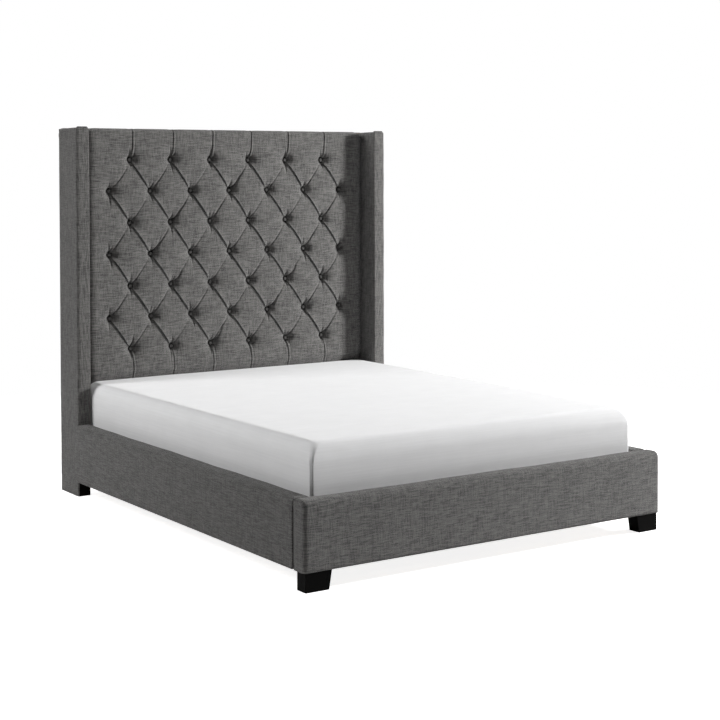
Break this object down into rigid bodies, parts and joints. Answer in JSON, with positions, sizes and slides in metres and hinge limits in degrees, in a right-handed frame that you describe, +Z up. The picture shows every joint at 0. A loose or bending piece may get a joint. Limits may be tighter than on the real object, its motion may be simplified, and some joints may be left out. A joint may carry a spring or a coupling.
{
  "type": "upholstered bed",
  "caption": "Bed with a tall diamond-tufted headboard between side wings, low upholstered side rails and footboard, black block feet, slatted base and mattress.",
  "frame": {"origin": "middle of the footprint, on the floor", "axes": "+Z up, +Y from the footboard towards the headboard's back, +X to the right seen from the foot end"},
  "size_m": [1.696, 2.2344, 1.676],
  "materials": {
    "linen": "slubbed linen weave, matt",
    "button_linen": "slubbed linen weave, matt",
    "black_wood": "black satin paint",
    "steel": "zinc plated",
    "black_plastic": "matt",
    "ticking": "matt",
    "white_sheet": "matt cotton",
    "plywood": "raw",
    "pine": "planed, unfinished"
  },
  "bodies": {
    "bed_frame": {"back_panel": "linen", "beam_hanger_head": "steel", "beam_hanger_toe": "steel", "button_row_1": "button_linen", "button_row_2": "button_linen", "button_row_3": "button_linen", "button_row_4": "button_linen", "button_row_5": "button_linen", "button_row_6": "button_linen", "button_row_7": "button_linen", "centre_beam": "pine", "centre_leg_1": "pine", "centre_leg_2": "pine", "fitted_sheet": "white_sheet", "footboard_board": "pine", "footboard_cover": "linen", "front_foot_left": "black_wood", "front_foot_right": "black_wood", "headboard_bottom_rail": "pine", "headboard_foot_left": "black_wood", "headboard_foot_right": "black_wood", "headboard_middle_rail": "pine", "headboard_post_left": "pine", "headboard_post_right": "pine", "headboard_top_rail": "pine", "hook_plate_head_left": "steel", "hook_plate_head_right": "steel", "hook_plate_toe_left": "steel", "hook_plate_toe_right": "steel", "mattress": "ticking", "side_rail_board_left": "pine", "side_rail_board_right": "pine", "side_rail_cover_left": "linen", "side_rail_cover_right": "linen", "slat_01": "pine", "slat_02": "pine", "slat_03": "pine", "slat_04": "pine", "slat_05": "pine", "slat_06": "pine", "slat_07": "pine", "slat_08": "pine", "slat_09": "pine", "slat_10": "pine", "slat_11": "pine", "slat_12": "pine", "slat_ledger_left": "pine", "slat_ledger_right": "pine", "tufted_pad": "linen", "tufting_board": "plywood", "wing_bolt_lower_left": "steel", "wing_bolt_lower_right": "steel", "wing_bolt_upper_left": "steel", "wing_bolt_upper_right": "steel", "wing_core_left": "pine", "wing_core_right": "pine", "wing_cover_left": "linen", "wing_cover_right": "linen"},
    "levelling_foot_1": {"leveller_1": "black_plastic"},
    "levelling_foot_2": {"leveller_2": "black_plastic"}
  },
  "joints": [
    {"name": "leveller_1_screw", "type": "slide", "parent": "bed_frame", "child": "levelling_foot_1", "axis": [0, 0, -1], "range_m": [0, 0.015]},
    {"name": "leveller_2_screw", "type": "slide", "parent": "bed_frame", "child": "levelling_foot_2", "axis": [0, 0, -1], "range_m": [0, 0.015]}
  ]
}
